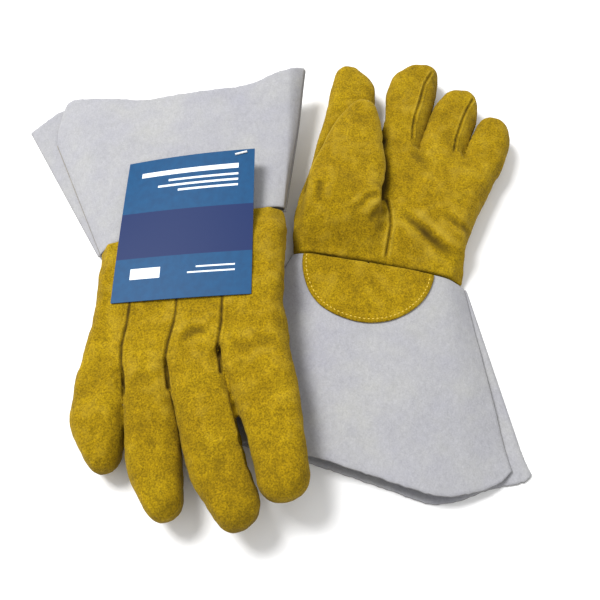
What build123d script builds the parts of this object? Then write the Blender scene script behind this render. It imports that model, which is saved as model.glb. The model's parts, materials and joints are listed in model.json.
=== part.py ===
from build123d import *
import math
import os

# A pair of gauntlet welding gloves as they lie on a table: the left-hand glove flat with its
# palm up and its thumb folded onto the palm, and the right-hand glove with its back up, its
# thumb folded under the palm, its fingers over the left-hand glove's cuff.
#
# Glove frame: origin on the table under the middle of the wrist, +Y to the fingertips, index
# side at -X, little-finger side at +X, +Z up.  Seen from above both gloves have this one plan.

# ---- driving dimensions (mm) ----
LEATHER = 1.6                 # thickness of the hand leather and of the cuff splits
LINING = 2.2                  # thickness of the fleece lining
HAND_HEIGHT = 24.0            # padded thickness of the hand
HAND_ROUND = 10.0             # radius of the hand's side edges
FINGER_HEIGHT = 22.0          # padded thickness of a finger
FINGER_ROUND = 9.6            # radius of a finger's edges
KNUCKLE_Y = 104.0             # knuckle line, where the fingers bend
THUMB_Y = 45.6                # line where the thumb bends
MOUND_Y = 4.0                 # start of the mound that carries the thumb
JOINT_GAP = 0.4               # gap between two pieces at a bend line
CUFF_LENGTH = 150.0           # wrist seam to the hem sections
PATCH_WIDTH = 94.0            # chord of the half-round heel patch
PATCH_DEPTH = 47.0            # depth of the heel patch
STITCH = (3.4, 0.9, 0.5)      # length, width and height of one heel stitch
STITCH_COUNT = 22
WELT = 1.2                    # square welt strip in the cuff's side seams
TAG_SIZE = (97.0, 120.0, 0.6)
TAG_TURN = -10.5              # turn of the tag in the glove frame, degrees
TAG_CENTRE = (-0.8, 5.5)
TAG_GAP = 0.8                 # air between the tag and the hand's back
TAG_PIN = (-49.0, -43.0)      # where the barb passes through tag and cuff
PIN_HOLE = 5.0                # hole of the barb in the cuff
PIN_FOOT = 6.5                # height of the barb's lower end
TAG_PIVOT_HEIGHT = 12.5       # height of the cuff panel at the barb
SHARP = 2.5                   # corners rounded by less than this stay sharp
FAR = 400.0                   # larger than the whole object

# ---- the two gloves ----
# place: wrist centre on the table; heading: clockwise from +Y; tilt: rise per mm towards -X.
# Plans are lists of (x, y, corner radius).
LEFT = dict(
    name="left", place=(49.3, 264.8), heading=10.72, palm_up=True, seam_gap=0.05,
    tilt=0.0, lift=0.0, hem_tilt=0.0, hem_lift=0.0, thumb_height=19.0,
    hand=[(-55, -20, 5), (-55, 0, 30), (-59, 28, 60), (-58, 50, 60), (-55, 78, 60),
          (-55, 130, 5), (92, 130, 5), (87.5, 104, 60), (76, 63, 60), (67.5, 24, 60),
          (71, -20, 5)],
    strips=[-6.0, 23.0, 54.3],
    fingers=dict(
        index=[(-55, 80, 2), (-54, 150, 60), (-53, 187, 10), (-36, 185, 14), (-19, 170, 14),
               (-16, 148, 40), (-6.4, 104, 20), (-6.4, 80, 2)],
        middle=[(-5.6, 80, 2), (-5.6, 122, 20), (-10.5, 148, 30), (-6, 184, 14),
                (8, 197, 14), (30, 201, 11), (32, 178, 40), (24, 118, 40), (22.6, 80, 2)],
        ring=[(23.4, 80, 2), (25, 114, 40), (32, 156, 30), (40, 174, 12), (63, 177, 12),
              (67, 156, 30), (57.3, 112, 30), (57.3, 80, 2)],
        little=[(59.6, 80, 2), (59.6, 108, 30), (64.5, 132, 30), (70, 150, 10),
                (88, 150, 12), (94, 132, 20), (87.5, 104, 30), (87.5, 80, 2)]),
    thumb=[(-54, 20, 2), (-54, 60, 40), (-46, 100, 60), (-32, 136, 12), (-14, 136, 12),
           (-6.6, 106, 30), (1, 76, 40), (3, 20, 2)],
    # cuff sections at the wrist and the hem: (x, height above the cuff's base plane)
    crown_wrist=[(-55, 3.4), (-44, 9), (-16, 18), (30, 18), (60, 14), (71, 3.4)],
    crown_hem=[(-104, 3.2), (-62, 6.2), (-10, 14), (50, 14), (92, 10), (118, 3.4)],
    lower_wrist=(-55, 73), lower_hem=(-106, 140),
    upper_plan=[(-120, 10, 2), (-120, -122, 10), (-80, -141, 20), (-10, -146, 60),
                (60, -155, 30), (108, -153, 14), (119, -122, 14), (130, 10, 2)],
    lower_plan=[(-130, 10, 2), (-130, -124, 12), (-80, -142, 20), (-10, -147, 60),
                (62, -158, 30), (124, -150, 14), (132, -108, 20), (150, 10, 2)])

RIGHT = dict(
    name="right", place=(-79.2, 291.5), heading=169.14, palm_up=False, seam_gap=0.8,
    tilt=0.1405, lift=12.0, hem_tilt=0.07, hem_lift=9.6, thumb_height=6.6,
    hand=[(-69, -20, 5), (-69, 20, 60), (-61, 48, 60), (-55, 76, 60),
          (-55, 130, 5), (92, 130, 5), (87.5, 104, 60), (76, 63, 60), (67.5, 24, 60),
          (71, -20, 5)],
    strips=[-9.5, 25.9, 54.3],
    fingers=dict(
        index=[(-55, 80, 2), (-54.5, 130, 60), (-50.5, 206, 14), (-20.5, 205.5, 14),
               (-17, 160, 40), (-9.9, 112, 30), (-9.9, 80, 2)],
        middle=[(-9.1, 80, 2), (-9.1, 116, 30), (-15.2, 150, 40), (-19, 216.5, 15),
                (15, 216.5, 15), (22.6, 160, 60), (25.5, 120, 40), (25.5, 80, 2)],
        ring=[(26.3, 80, 2), (26.3, 118, 40), (23.9, 150, 40), (28, 203, 12), (55, 202, 12),
              (59.4, 156, 40), (53.9, 112, 40), (53.9, 80, 2)],
        little=[(54.7, 80, 2), (54.9, 116, 40), (59.5, 144, 30), (66, 165, 10),
                (90, 165, 12), (92.5, 134, 40), (87.5, 104, 30), (87.5, 80, 2)]),
    thumb=[(-54, 20, 2), (-54, 60, 40), (-48, 100, 60), (-38, 130, 10), (-18, 130, 10),
           (-14, 100, 40), (-13, 20, 2)],
    crown_wrist=[(-69, 7), (-60, 13), (-25, 18), (30, 18), (60, 14), (70, 3.4)],
    crown_hem=[(-104, 12), (-62, 15), (-15, 16), (50, 14), (92, 9), (108, 3.4)],
    lower_wrist=(-70, 72), lower_hem=(-124, 134),
    upper_plan=[(-120, 10, 2), (-107, -127, 6), (-70, -121, 20), (-30, -124, 40),
                (20, -129, 40), (86, -150, 8), (96, -124, 10), (120, 10, 2)],
    lower_plan=[(-130, 10, 2), (-119, -131, 8), (-70, -124, 20), (-30, -127, 40),
                (20, -132, 40), (92, -151, 20), (121, -131, 8), (150, 10, 2)])

FINGERS = ["index", "middle", "ring", "little"]


# ---- helpers ----
def plan_face(points, inset=0.0):
    """Closed outline inside the points by the inset, each corner rounded by its own radius."""
    outline = Polygon(*[(x, y) for x, y, _ in points], align=None)
    if inset:
        outline = offset(outline, -inset, kind=Kind.INTERSECTION)
    for x, y, radius in points:
        if radius > inset + SHARP:
            corner = outline.vertices().sort_by_distance((x, y, 0))[0]
            outline = fillet(corner, radius - inset)
    return outline


def slab(y_low, y_high, z_low=-FAR, z_high=FAR, x_low=-FAR, x_high=FAR):
    """Big block used to keep one range of the glove frame."""
    size = (x_high - x_low, y_high - y_low, z_high - z_low)
    middle = ((x_high + x_low) / 2, (y_high + y_low) / 2, (z_high + z_low) / 2)
    return Pos(*middle) * Box(*size)


def pillow(face, z_low, z_high, edge_radius):
    """The outline raised to a slab whose long edges are rounded."""
    block = Pos(0, 0, z_low) * extrude(face, z_high - z_low, dir=(0, 0, 1))
    rims = block.edges().filter_by(lambda e: abs(e.center().Z - z_low) < 1e-6
                                   or abs(e.center().Z - z_high) < 1e-6)
    return fillet(rims, edge_radius)


def sleeve(points, z_low, z_high, edge_radius, inset):
    """The pillow of an outline, made smaller all round by the inset."""
    face = plan_face(points, inset)
    return pillow(face, z_low + inset, z_high - inset, edge_radius - inset)


def layers(points, z_low, z_high, edge_radius, keep):
    """Leather and lining of one padded sleeve, cut to the block keep."""
    skin = sleeve(points, z_low, z_high, edge_radius, 0)
    inner = sleeve(points, z_low, z_high, edge_radius, LEATHER)
    cavity = sleeve(points, z_low, z_high, edge_radius, LEATHER + LINING)
    return (skin - inner) & keep, (inner - cavity) & keep, cavity & keep


def section(points, y, tilt, lift):
    """Upright cross-section across the glove, with its base plane tilted and lifted."""
    corners = [(x, y, z + lift - tilt * x) for x, z in points]
    return make_face(Polyline(*corners, close=True))


def between(wrist_points, hem_points, glove, start=-JOINT_GAP):
    """Straight-sided solid from a wrist section to a hem section."""
    near = section(wrist_points, start, glove["tilt"], glove["lift"])
    far = section(hem_points, -CUFF_LENGTH - 20, glove["hem_tilt"], glove["hem_lift"])
    return loft([near, far], ruled=True)


def spread(points, wrist_points):
    """Carries the hem section on in line to the far section, 20 mm behind the hem."""
    share = 20 / CUFF_LENGTH
    return [(x + (x - wx) * share, z + (z - wz) * share * 0.3)
            for (x, z), (wx, wz) in zip(points, wrist_points)]


def under(points, drop, squeeze):
    """The same crown, lower by drop and narrower by squeeze at each side."""
    low, high = points[0][0], points[-1][0]
    moved = []
    for x, z in points:
        side = squeeze if x == low else -squeeze if x == high else 0
        moved.append((x + side, max(z - drop, LEATHER + 1.2)))
    return moved


def closed(points, floor):
    """Crown line closed down to a floor height."""
    return [(points[0][0], floor)] + points + [(points[-1][0], floor)]


# ---- sub-parts ----
def cuff_pieces(glove):
    """Upper and lower cuff panels, welts, heel patch and its stitches."""
    wrist, hem = glove["crown_wrist"], spread(glove["crown_hem"], glove["crown_wrist"])
    floor = LEATHER + glove["seam_gap"]
    dome = between(closed(wrist, floor), closed(hem, floor), glove)
    hollow = between(closed(under(wrist, LEATHER, 4), floor - 0.01),
                     closed(under(hem, LEATHER, 4), floor - 0.01), glove, start=1)
    upper_trim = Pos(0, 0, -60) * extrude(plan_face(glove["upper_plan"]), 160, dir=(0, 0, 1))
    lower_trim = Pos(0, 0, -60) * extrude(plan_face(glove["lower_plan"]), 160, dir=(0, 0, 1))
    upper = (dome - hollow) & upper_trim

    low_x, high_x = glove["lower_wrist"]
    far_low, far_high = glove["lower_hem"]
    if glove["tilt"]:
        quad = [(low_x, 0), (high_x, 0), (high_x, LEATHER), (low_x, LEATHER)]
        far_quad = [(far_low, 0), (far_high, 0), (far_high, LEATHER), (far_low, LEATHER)]
        sheet = between(quad, far_quad, glove)
    else:
        far_y = -CUFF_LENGTH - 20
        flare = [(low_x, -JOINT_GAP, 0), (high_x, -JOINT_GAP, 0),
                 (far_high, far_y, 0), (far_low, far_y, 0)]
        sheet = extrude(plan_face(flare), LEATHER, dir=(0, 0, 1))
    lower = sheet & lower_trim

    welts = []
    for end, sign in ((0, -1), (-1, 1)):
        ends = [(line[end][0] + sign * 0.1, line[end][0] + sign * (0.1 + WELT))
                for line in (wrist, hem)]
        strips = [[(a, floor), (b, floor), (b, floor + WELT), (a, floor + WELT)]
                  for a, b in ends]
        welts.append(between(*strips, glove) & lower_trim)

    # the heel patch lies on the palm side of the cuff, one leather thick
    ellipse = Pos(0, -JOINT_GAP - 0.6) * Ellipse(PATCH_WIDTH / 2, PATCH_DEPTH)
    half = ellipse & (Pos(0, -FAR / 2 - JOINT_GAP) * Rectangle(FAR, FAR))
    patch_plan = Pos(0, 0, -60) * extrude(half, 160, dir=(0, 0, 1))
    base, side = (dome, 1) if glove["palm_up"] else (sheet, -1)
    outer = Pos(0, 0, side * LEATHER) * base
    patch = (outer - base) & patch_plan
    patch = patch.solids().sort_by(SortBy.VOLUME)[-1]
    thread_top = Pos(0, 0, side * (LEATHER + STITCH[2])) * base
    thread = thread_top - outer - base
    stitches = []
    for number in range(STITCH_COUNT):
        angle = math.pi * (number + 0.7) / (STITCH_COUNT + 0.4)
        x = -(PATCH_WIDTH / 2 - 3) * math.cos(angle)
        y = -(PATCH_DEPTH - 3) * math.sin(angle)
        turn = math.degrees(math.atan2(-(PATCH_DEPTH - 3) * math.cos(angle),
                                       (PATCH_WIDTH / 2 - 3) * math.sin(angle)))
        rod = Pos(x, y, 20) * Rot(0, 0, turn) * Box(STITCH[0], STITCH[1], 160)
        stitches.append((thread & rod).solids().sort_by(SortBy.VOLUME)[-1])
    if not glove["palm_up"]:
        upper = upper - hand_roll(glove) * pin_hole(PIN_HOLE)
    return dict(cuff_upper_panel=upper, cuff_lower_panel=lower,
                cuff_welts=Compound(children=[s for w in welts for s in w.solids()]),
                heel_patch=patch, heel_stitching=Compound(children=stitches)), dome


def mound(glove, inset):
    """Wedge that rises from the palm to the thumb's open end."""
    side = 1 if glove["palm_up"] else -1
    base = HAND_HEIGHT if glove["palm_up"] else 0
    height = glove["thumb_height"] + 0.4
    low_x, high_x = glove["thumb"][0][0], glove["thumb"][-1][0]
    start, end = MOUND_Y + 2.4 * inset, THUMB_Y + (1 if inset else 0)
    rise = height - inset
    foot = base - side * (8 if inset else 0)
    profile = make_face(Polyline((low_x + inset, start, foot), (low_x + inset, end, foot),
                                 (low_x + inset, end, base + side * rise),
                                 (low_x + inset, start, base + side * 0.01), close=True))
    return extrude(profile, high_x - low_x - 2 * inset, dir=(1, 0, 0))


def hand_pieces(glove):
    """Palm, thumb wing, four back strips and the lining, over one hand cavity."""
    keep = slab(JOINT_GAP, KNUCKLE_Y - JOINT_GAP)
    skin, lining, cavity = layers(glove["hand"], 0, HAND_HEIGHT, HAND_ROUND, keep)
    up = glove["palm_up"]
    seam = HAND_HEIGHT - HAND_ROUND if up else HAND_ROUND
    palm_half = slab(-FAR, FAR, seam, FAR) if up else slab(-FAR, FAR, -FAR, seam)
    back_half = slab(-FAR, FAR, -FAR, seam) if up else slab(-FAR, FAR, seam, FAR)
    thumb_way = mound(glove, LEATHER)
    pieces = dict(palm=(skin & palm_half) - thumb_way,
                  thumb_wing=mound(glove, 0) - thumb_way,
                  hand_lining=lining - mound(glove, LEATHER + 0.2))
    back = skin & back_half
    edges = [-FAR] + glove["strips"] + [FAR]
    for finger, low, high in zip(FINGERS, edges, edges[1:]):
        pieces[finger + "_back_strip"] = back & slab(-FAR, FAR, x_low=low, x_high=high)
    return pieces


def finger_pieces(glove, finger):
    """Front, back and lining of one finger, cut off at the knuckle line."""
    keep = slab(KNUCKLE_Y + JOINT_GAP, FAR)
    low, high = HAND_HEIGHT - FINGER_HEIGHT, HAND_HEIGHT
    skin, lining, _ = layers(glove["fingers"][finger], low, high, FINGER_ROUND, keep)
    return split_pieces(glove, finger, skin, lining, (low + high) / 2)


def thumb_pieces(glove):
    """Front, back and lining of the thumb, on the palm side of the hand."""
    keep = slab(THUMB_Y + JOINT_GAP, FAR)
    height = glove["thumb_height"]
    low = HAND_HEIGHT + 0.4 if glove["palm_up"] else -0.4 - height
    edge = min(FINGER_ROUND - 1.2, height / 2 - 0.1)
    lining = LINING if height > 10 else 0.8
    points = glove["thumb"]
    skin = sleeve(points, low, low + height, edge, 0)
    inner = sleeve(points, low, low + height, max(edge, LEATHER + 0.5), LEATHER)
    cavity = sleeve(points, low, low + height, max(edge, LEATHER + lining + 0.3),
                    LEATHER + lining)
    return split_pieces(glove, "thumb", (skin - inner) & keep, (inner - cavity) & keep,
                        low + height / 2)


def split_pieces(glove, name, skin, lining, seam):
    above, below = slab(-FAR, FAR, seam, FAR), slab(-FAR, FAR, -FAR, seam)
    front, back = (above, below) if glove["palm_up"] else (below, above)
    return {name + "_front": skin & front, name + "_back": skin & back,
            name + "_lining": lining}


def tag_place():
    """The tag's own frame: parallel to the hand's back and just above it."""
    return Pos(*TAG_CENTRE, HAND_HEIGHT + TAG_GAP) * Rot(0, 0, TAG_TURN)


def pin_hole(diameter):
    return Pos(*TAG_PIN, 20) * Cylinder(diameter / 2, 100)


def tag_pieces():
    """Printed card and the plastic barb that holds it to the cuff."""
    width, length, thick = TAG_SIZE
    card = extrude(fillet(Rectangle(width, length).vertices(), 2), thick)
    card = tag_place() * card - pin_hole(1.6)
    top = HAND_HEIGHT + TAG_GAP + thick
    barb = Pos(*TAG_PIN, (top + PIN_FOOT + 0.8) / 2) * Cylinder(0.6, top + 0.8 - PIN_FOOT)
    bar = Cylinder(0.8, 9, rotation=(0, 90, 0))
    barb = barb + Pos(*TAG_PIN, top + 0.8) * bar + Pos(*TAG_PIN, PIN_FOOT) * bar
    return dict(tag_card=card, tag_fastener=barb)


# ---- placing ----
def hand_roll(glove):
    """Rolls the hand about its length and lifts it."""
    return Pos(0, 0, glove["lift"]) * Rot(0, math.degrees(math.atan(glove["tilt"])), 0)


def hand_place(glove):
    """The rolled hand on the table, turned to its heading."""
    return table_place(glove) * hand_roll(glove)


def table_place(glove):
    return Pos(*glove["place"], 0) * Rot(0, 0, -glove["heading"])


def build_glove(glove):
    """All nodes of one glove, placed on the table."""
    nodes = {}
    on_table, on_hand = table_place(glove), hand_place(glove)
    cuff, _ = cuff_pieces(glove)
    for name, piece in cuff.items():
        nodes[name] = on_table * piece
    hand = hand_pieces(glove)
    for finger in FINGERS:
        hand.update(finger_pieces(glove, finger))
    hand.update(thumb_pieces(glove))
    for name, piece in hand.items():
        nodes[name] = on_hand * piece
    return {glove["name"] + "_" + name: piece for name, piece in nodes.items()}


def build_all():
    nodes = build_glove(LEFT)
    nodes.update(build_glove(RIGHT))
    for name, piece in tag_pieces().items():
        nodes[name] = hand_place(RIGHT) * piece
    whole = Compound(children=[Compound(children=p.solids()) for p in nodes.values()])
    box = whole.bounding_box()
    home = Pos(-(box.min.X + box.max.X) / 2, -(box.min.Y + box.max.Y) / 2, -box.min.Z)
    return {name: home * piece for name, piece in nodes.items()}, home


def main():
    nodes, home = build_all()
    os.makedirs("parts", exist_ok=True)
    for name, piece in nodes.items():
        solids = piece.solids()
        shape = solids[0] if len(solids) == 1 else Compound(children=solids)
        export_step(shape, os.path.join("parts", name + ".step"))
    print("nodes", len(nodes), "moved by", home.position)


main()
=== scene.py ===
"""A pair of gauntlet welding gloves: suede hands, split-leather cuffs, heel patches and a tag.

Shapes are worked out in each glove's own frame, in millimetres: origin under the middle of the
wrist, +Y to the fingertips, index finger at -X, little finger at +X, +Z up.
"""
import json
import math
import bpy
import numpy as np
from mathutils import Matrix, Vector, noise
from mathutils.bvhtree import BVHTree
from mathutils.kdtree import KDTree


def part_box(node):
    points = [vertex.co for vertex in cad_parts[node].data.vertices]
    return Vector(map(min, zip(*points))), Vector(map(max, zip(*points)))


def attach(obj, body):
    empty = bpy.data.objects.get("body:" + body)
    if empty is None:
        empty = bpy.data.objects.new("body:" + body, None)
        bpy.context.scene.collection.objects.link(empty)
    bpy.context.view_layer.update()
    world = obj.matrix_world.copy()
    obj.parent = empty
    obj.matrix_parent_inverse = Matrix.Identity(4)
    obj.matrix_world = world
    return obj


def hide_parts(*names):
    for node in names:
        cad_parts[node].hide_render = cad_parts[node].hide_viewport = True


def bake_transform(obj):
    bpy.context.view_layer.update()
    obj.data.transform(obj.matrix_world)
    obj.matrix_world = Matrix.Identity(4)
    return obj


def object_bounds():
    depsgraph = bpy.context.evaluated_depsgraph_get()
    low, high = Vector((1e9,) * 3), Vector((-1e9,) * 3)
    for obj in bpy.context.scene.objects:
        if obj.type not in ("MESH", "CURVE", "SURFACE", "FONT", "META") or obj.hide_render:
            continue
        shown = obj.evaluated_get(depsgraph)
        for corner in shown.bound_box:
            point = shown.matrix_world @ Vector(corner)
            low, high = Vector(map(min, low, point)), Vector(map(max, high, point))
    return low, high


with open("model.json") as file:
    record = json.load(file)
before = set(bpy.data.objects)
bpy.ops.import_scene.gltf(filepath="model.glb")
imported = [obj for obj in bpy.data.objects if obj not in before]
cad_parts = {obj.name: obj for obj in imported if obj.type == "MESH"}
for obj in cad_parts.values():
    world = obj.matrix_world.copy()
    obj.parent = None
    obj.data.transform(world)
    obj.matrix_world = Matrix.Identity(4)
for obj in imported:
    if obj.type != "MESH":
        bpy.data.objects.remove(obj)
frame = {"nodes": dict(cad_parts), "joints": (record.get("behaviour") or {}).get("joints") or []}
cad_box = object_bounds()

MM = 0.001
SIDES = ("left", "right")
SKIN_SEED = dict(left=5, right=6)
CUFF_SEED = dict(left=5, right=11)
FINGERS = ("index", "middle", "ring", "little")
DIGITS = FINGERS + ("thumb",)
HAND_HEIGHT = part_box("left_palm")[1][2] / MM
KNUCKLE_Y = 104.0             # knuckle line in the glove frame
THUMB_Y = 45.8                # bend line of the thumb
VOXEL = 1.9                   # remesh size of the hands
LEATHER = 1.5                 # thickness of the drawn leather
PANEL = 1.7                   # thickness of the cuff's split leather
LINING_DEPTH = 2.6            # how far the fleece lies under the leather's outside
FLEECE = 0.6                  # thickness of the drawn fleece
THIN_LEATHER = 0.8            # leather and fleece of the thumb that is pressed under the palm
THIN_FLEECE = 0.4
THIN_VOXEL = 1.2
PATCH = 1.5                   # thickness of the heel patch
STITCH_PITCH = 3.1
STITCH_RADIUS = 0.36
SHARP = math.radians(65)      # edges bent more than this are drawn sharp
TAG_SAG = 0.0048              # metres the tag's far corner bends down to the cuff
TAG_WAVE = 0.0010             # metres its middle stands up
HEM_IN = 15                   # how far the left cuff's hem corner is drawn in
HEM_UP = 6                    # how far the right cuff's hem corner is raised
WRIST_UP = 10                 # how far the left cuff rises at the thumb side of the wrist
# degrees each finger is spread while the skin is made, so that the fingers stay apart
SPREAD = dict(left=dict(index=14.0, middle=6.0, ring=-6.0, little=-18.0),
              right=dict(index=8.5, middle=3.0, ring=-3.0, little=-8.5))
# the cuff's crown at the wrist: the hand narrows to it
CROWN = dict(left=[(-55, 13), (-44, 18), (-16, 19.5), (30, 18), (60, 14), (71, 3.4)],
             right=[(-69, 7), (-60, 13), (-25, 18), (30, 18), (60, 14), (70, 3.4)])
THUMB_OPENING = 10.0          # degrees the thumb is opened while the skin is made
THUMB_CLOSING = 0.86          # share of that angle that is taken back
PLUMP = 0.3                   # how far the skin is let out after its smoothing
CLOTH_VOXEL = 3.6             # mesh size of the simulated skin
CLOTH_SCALE = 10              # the cloth is simulated ten times larger
CLOTH_PRESSURE = 0.25
CLOTH_SPARE = 0.03            # share by which the leather is larger than its place
CLOTH_FRAMES = 14
CLOTH_LIMIT = 1.5             # largest movement kept from the simulation
TUCKS = (0, 1.6, 3.2, 4.8, 6.4)   # steps by which a digit is repeated into the hand, to join it
THIN_TUCKS = (0, 1.4, 2.8, 4.2, 5.6)
THUMB_SHORTER = 0.045         # shares by which the folded thumb is drawn shorter and flatter
THUMB_FLATTER = 0.16
TIP_TAPER = 0.42              # share by which a tapered tip is narrowed on one side
TIP_LENGTH = 36
WAVE = (55, 1.8)              # size and height of the cuff's broad waves, and of its small ones
RIPPLE = (16, 0.35)
KEY_LIGHT, FILL_LIGHT, SKY = 104, 8, 0.62


# ---- camera, first ----
def make_camera():
    """Camera at the photograph's angle, above the near side of the table."""
    elevation, distance = math.radians(62), 0.5187
    target = Vector((0.02804, -0.02386, 0))
    data = bpy.data.cameras.new("camera")
    data.sensor_width, data.lens = 36, 42.9
    camera = bpy.data.objects.new("camera", data)
    away = Vector((0, -math.cos(elevation), math.sin(elevation)))
    camera.location = target + away * distance
    camera.rotation_euler = (math.pi / 2 - elevation, 0, 0)
    bpy.context.scene.collection.objects.link(camera)
    bpy.context.scene.camera = camera


# ---- glove frames ----
def joint_named(name):
    """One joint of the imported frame."""
    return next(j for j in frame["joints"] if j["name"] == name)


def hand_frame(side):
    """Matrix from the glove frame, in metres, to the row frame."""
    joint = joint_named(side + "_wrist_bend")
    x = Vector(joint["axis"]).normalized()
    y = Vector((0, 0, 1)).cross(x).normalized()
    z = x.cross(y)
    origin = Vector(joint["pos_m"]) - z * HAND_HEIGHT * MM
    matrix = Matrix((x, y, z)).transposed().to_4x4()
    matrix.translation = origin
    return matrix


def table_frame(side):
    """The same frame without the hand's roll, standing on the table."""
    hand = hand_frame(side)
    x = Vector((hand.col[0].x, hand.col[0].y, 0)).normalized()
    y = hand.col[1].to_3d()
    matrix = Matrix((x, y, Vector((0, 0, 1)))).transposed().to_4x4()
    matrix.translation = Vector((hand.translation.x, hand.translation.y, 0))
    return matrix


def to_glove(points, matrix):
    """Row-frame points in metres to glove-frame points in millimetres."""
    inverse = np.array(matrix.inverted())
    return (points @ inverse[:3, :3].T + inverse[:3, 3]) / MM


def to_row(points, matrix):
    """The way back: glove frame in millimetres to row frame in metres."""
    forward = np.array(matrix)
    return (points * MM) @ forward[:3, :3].T + forward[:3, 3]


# ---- mesh tools ----
def node_arrays(name, matrix):
    """Corners and triangles of a CAD node, in the glove frame."""
    mesh = frame["nodes"][name].data
    mesh.calc_loop_triangles()
    corners = np.array([v.co for v in mesh.vertices], float)
    faces = np.array([t.vertices for t in mesh.loop_triangles], int)
    return to_glove(corners, matrix), faces


def box_arrays(low, high):
    """Corners and triangles of a block."""
    corners = np.array([[(low, high)[(i >> a) & 1][a] for a in range(3)] for i in range(8)], float)
    quads = [(0, 2, 3, 1), (4, 5, 7, 6), (0, 1, 5, 4), (2, 6, 7, 3), (0, 4, 6, 2), (1, 3, 7, 5)]
    faces = [t for a, b, c, d in quads for t in ((a, b, c), (a, c, d))]
    return corners, np.array(faces)


def make_object(name, points, faces):
    """Smooth-shaded object from points in metres."""
    mesh = bpy.data.meshes.new(name)
    mesh.from_pydata([tuple(p) for p in points], [], [tuple(f) for f in faces])
    mesh.validate()
    mesh.update()
    mesh.polygons.foreach_set("use_smooth", [True] * len(mesh.polygons))
    obj = bpy.data.objects.new(name, mesh)
    bpy.context.scene.collection.objects.link(obj)
    return obj


def evaluated_arrays(obj):
    """Points and faces of an object after its modifiers."""
    bpy.context.view_layer.update()
    mesh = obj.evaluated_get(bpy.context.evaluated_depsgraph_get()).to_mesh()
    points = np.empty(len(mesh.vertices) * 3)
    mesh.vertices.foreach_get("co", points)
    faces = [tuple(p.vertices) for p in mesh.polygons]
    return points.reshape(-1, 3), faces


def drop_object(obj):
    """Removes an object and its mesh."""
    mesh = obj.data
    bpy.data.objects.remove(obj)
    bpy.data.meshes.remove(mesh)


def modified(points, faces, kind, **settings):
    """Points and faces after one modifier."""
    obj = make_object("work", points * MM, faces)
    modifier = obj.modifiers.new("work", kind)
    for key, value in settings.items():
        setattr(modifier, key, value)
    points, faces = evaluated_arrays(obj)
    drop_object(obj)
    return points / MM, faces


def largest_part(points, faces):
    """Keeps the connected part that reaches furthest."""
    parent = np.arange(len(points))

    def root(i):
        while parent[i] != i:
            parent[i] = parent[parent[i]]
            i = parent[i]
        return i

    for face in faces:
        first = root(face[0])
        for corner in face[1:]:
            parent[root(corner)] = first
    roots = np.array([root(i) for i in range(len(points))])
    best = roots[np.argmax(points[:, 1])]
    used, faces = renumbered([f for f in faces if roots[f[0]] == best])
    return points[used], faces


def renumbered(faces):
    """The points that faces use, and the faces counted in those points alone."""
    used = np.unique(np.array([i for f in faces for i in f]))
    index = np.full(used[-1] + 1, -1)
    index[used] = np.arange(len(used))
    return used, [tuple(index[i] for i in f) for f in faces]


def edge_array(faces):
    """Each edge once, as a pair of point numbers."""
    pairs = {(min(a, b), max(a, b)) for f in faces for a, b in zip(f, f[1:] + f[:1])}
    return np.array(sorted(pairs))


def relax(points, edges, rounds, amount=0.5, weight=None, keep_size=True):
    """Smooths points along edges; keep_size undoes the shrinking."""
    count = np.bincount(edges.ravel(), minlength=len(points))[:, None]
    weight = 1.0 if weight is None else weight[:, None]
    steps = (amount, -amount * 1.04) if keep_size else (amount,)
    for _ in range(rounds):
        for step in steps:
            total = np.zeros_like(points)
            np.add.at(total, edges[:, 0], points[edges[:, 1]])
            np.add.at(total, edges[:, 1], points[edges[:, 0]])
            points = points + step * weight * (total / np.maximum(count, 1) - points)
    return points


def point_normals(points, faces):
    """Area-weighted normals."""
    triangles = np.array([t for f in faces for t in ((f[0], f[1], f[2]), (f[0], f[2], f[-1]))])
    a, b, c = (points[triangles[:, i]] for i in range(3))
    crossed = np.cross(b - a, c - a)
    normals = np.zeros_like(points)
    for i in range(3):
        np.add.at(normals, triangles[:, i], crossed)
    return normals / np.maximum(np.linalg.norm(normals, axis=1), 1e-9)[:, None]


def tree_of(points):
    """Search tree that finds the nearest of some points."""
    tree = KDTree(len(points))
    for number, point in enumerate(points):
        tree.insert(point, number)
    tree.balance()
    return tree


def smoothstep(value, low, high):
    """0 below low, 1 above high, and a smooth rise between."""
    t = np.clip((value - low) / (high - low), 0, 1)
    return t * t * (3 - 2 * t)


def window(value, rise, fall):
    """Rises from 0 to 1 between the two values of rise, and falls back between those of fall."""
    return smoothstep(value, *rise) * (1 - smoothstep(value, *fall))


def line_distance(xy, line):
    """Distance from each plan point to a chain of points, and the share run along it."""
    best = np.full(len(xy), 1e9)
    along = np.zeros(len(xy))
    line = np.array(line, float)
    for number, (a, b) in enumerate(zip(line, line[1:])):
        t = np.clip(((xy - a) @ (b - a)) / ((b - a) @ (b - a)), 0, 1)
        distance = np.linalg.norm(xy - (a + t[:, None] * (b - a)), axis=1)
        closer = distance < best
        best[closer] = distance[closer]
        along[closer] = ((number + t) / (len(line) - 1))[closer]
    return best, along


def lumps(points, size, seed):
    """Smooth noise, about -1 to 1, with features of the given size in millimetres."""
    shift = Vector((seed * 17.3, seed * 5.1, seed * 9.7))
    return np.array([noise.noise(Vector(p) / size + shift) for p in points]) * 1.6


# ---- the hands ----
def turn_about(points, pivot, axis, degrees):
    """Turns all points by one angle."""
    rotation = np.array(Matrix.Rotation(math.radians(degrees), 3, Vector(axis)))
    return (points - pivot) @ rotation.T + pivot


def turned_by_weight(points, pivot, axis, degrees):
    """Turns each point by its own angle."""
    angle = np.radians(degrees)
    offset = points - pivot
    axis = np.array(axis, float)
    c, s = np.cos(angle)[:, None], np.sin(angle)[:, None]
    along = (offset @ axis)[:, None] * axis
    return pivot + offset * c + np.cross(axis, offset) * s + along * (1 - c)


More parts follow.
